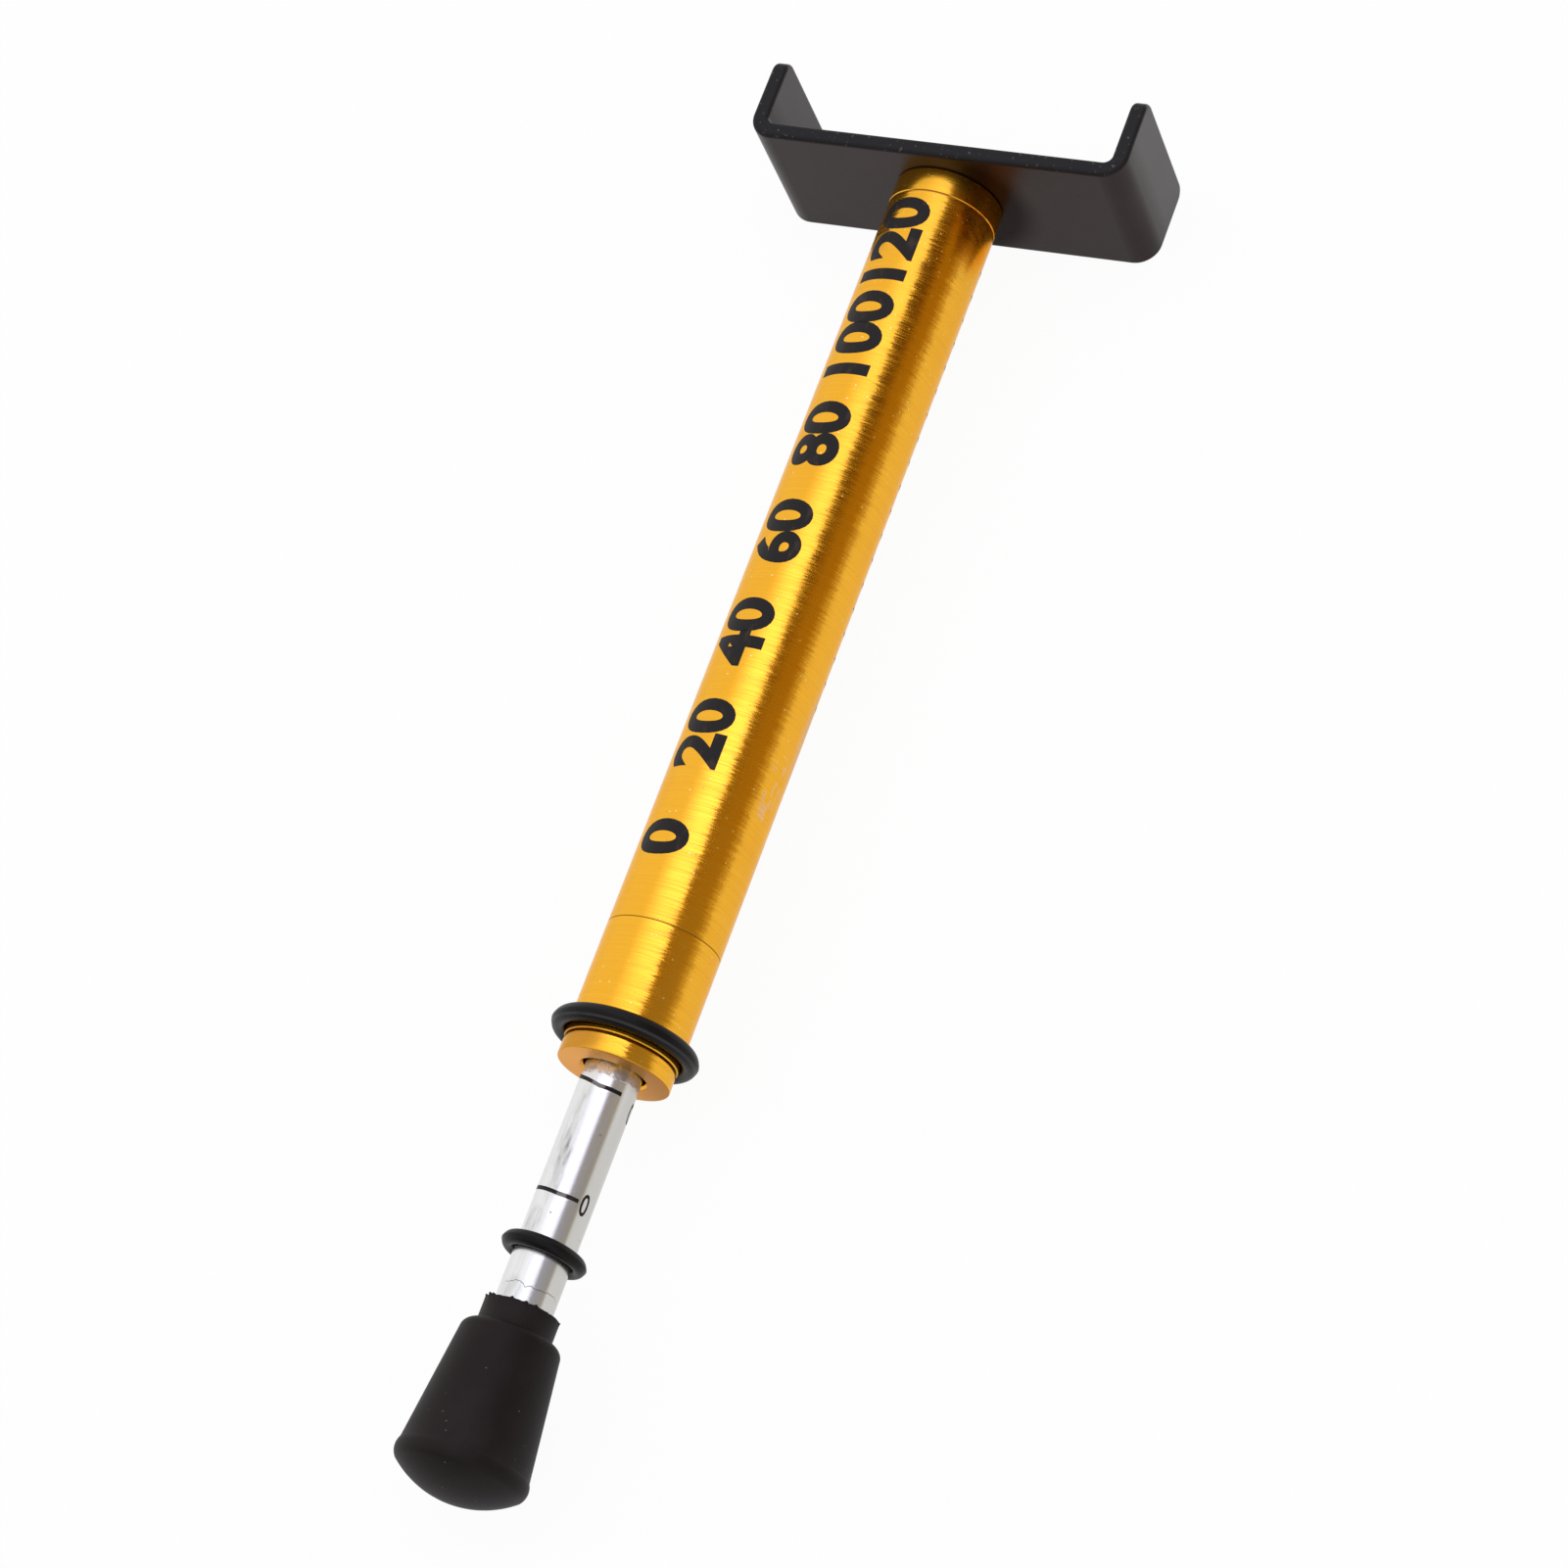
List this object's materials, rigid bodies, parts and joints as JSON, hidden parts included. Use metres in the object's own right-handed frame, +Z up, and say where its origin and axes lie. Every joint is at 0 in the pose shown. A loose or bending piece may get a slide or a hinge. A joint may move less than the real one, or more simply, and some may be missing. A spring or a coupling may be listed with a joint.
{
  "type": "belt tension tester",
  "caption": "Hand-held belt tension tester: a round tube with a U cradle for the belt, a sprung plunger rod with a rubber tip, and sliding marker rings.",
  "frame": {"origin": "centre of the bounding box on the table the gauge lies on", "axes": "+X along the tube from the rubber tip to the cradle, +Y across the cradle, +Z up, along the width of the cradle strip"},
  "size_m": [0.2688, 0.0728, 0.0276],
  "materials": {
    "black_coat": "satin black coating on steel strip",
    "screw_steel": "plated steel",
    "gold_anodised": "turned and gold anodised",
    "inner_steel": "bright steel",
    "white_nylon": "machined",
    "bare_aluminium": "drawn, bare",
    "black_rubber": "matt moulded"
  },
  "bodies": {
    "housing": {"belt_cradle": "black_coat", "cradle_screw": "screw_steel", "upper_plug": "gold_anodised", "spring_seat": "inner_steel", "body_tube": "gold_anodised", "lower_sleeve": "gold_anodised", "guide_bush": "white_nylon", "gland_cap": "gold_anodised", "compression_spring": "inner_steel"},
    "spring_washer": {"thrust_washer": "inner_steel"},
    "plunger": {"follower": "white_nylon", "follower_screw": "screw_steel", "plunger_rod": "bare_aluminium", "retaining_clip": "inner_steel", "buffer_washer": "black_rubber", "rubber_tip": "black_rubber"},
    "force_marker": {"force_ring": "black_rubber"},
    "deflection_marker": {"deflection_ring": "black_rubber"}
  },
  "joints": [
    {"name": "plunger_slide", "type": "slide", "parent": "housing", "child": "spring_washer", "axis": [1, 0, 0], "range_m": [0, 0.024], "stiffness_N_per_m": 1660, "springref_m": -0.00315, "deforming": ["compression_spring"]},
    {"name": "plunger_turn", "type": "hinge", "parent": "spring_washer", "child": "plunger", "pos_m": [0, 0, 0.0138], "axis": [1, 0, 0], "continuous": true},
    {"name": "force_ring_slide", "type": "slide", "parent": "plunger", "child": "force_marker", "axis": [1, 0, 0], "range_m": [-0.0085, 0.007]},
    {"name": "deflection_ring_slide", "type": "slide", "parent": "housing", "child": "deflection_marker", "axis": [1, 0, 0], "range_m": [-0.0008, 0.167]}
  ]
}
